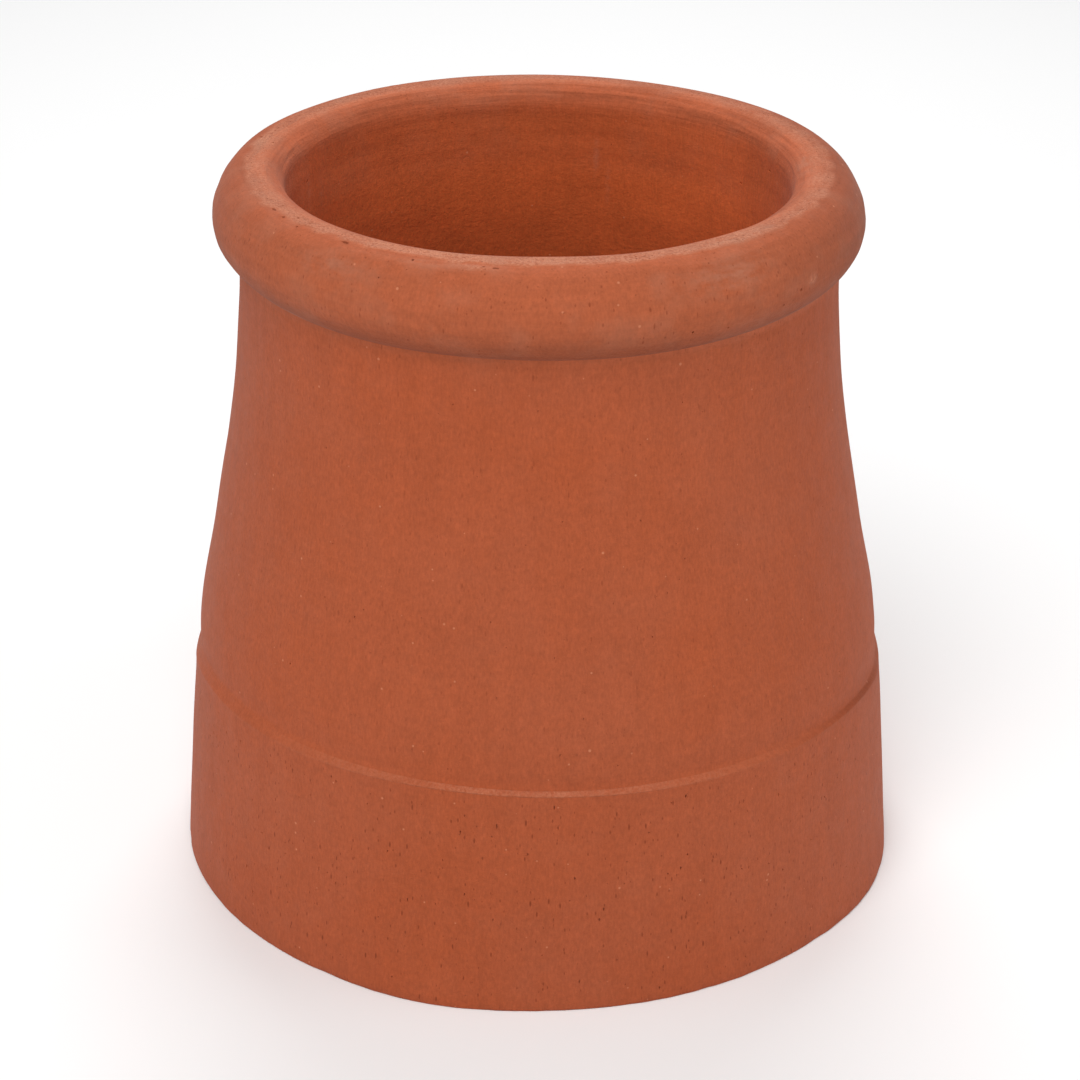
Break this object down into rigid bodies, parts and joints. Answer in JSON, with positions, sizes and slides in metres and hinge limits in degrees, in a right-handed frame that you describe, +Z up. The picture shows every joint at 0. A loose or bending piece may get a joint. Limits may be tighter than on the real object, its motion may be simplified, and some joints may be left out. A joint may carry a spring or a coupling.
{
  "type": "chimney pot",
  "caption": "Round terracotta chimney pot with a roll rim, a tapering ogee body and a straight foot band under a low ledge, open right through for smoke.",
  "frame": {"origin": "centre of the underside, on the surface that the pot stands on", "axes": "+Z up along the axis that the pot is turned about; the pot is round, so +X and +Y are free, with -Y towards the viewer of the picture"},
  "size_m": [0.306, 0.306, 0.3],
  "materials": {
    "terracotta": "matt unglazed fired clay, fine grained, with small pits and a paler rubbed crest"
  },
  "bodies": {
    "root": {"chimney_pot": "terracotta"}
  },
  "joints": []
}
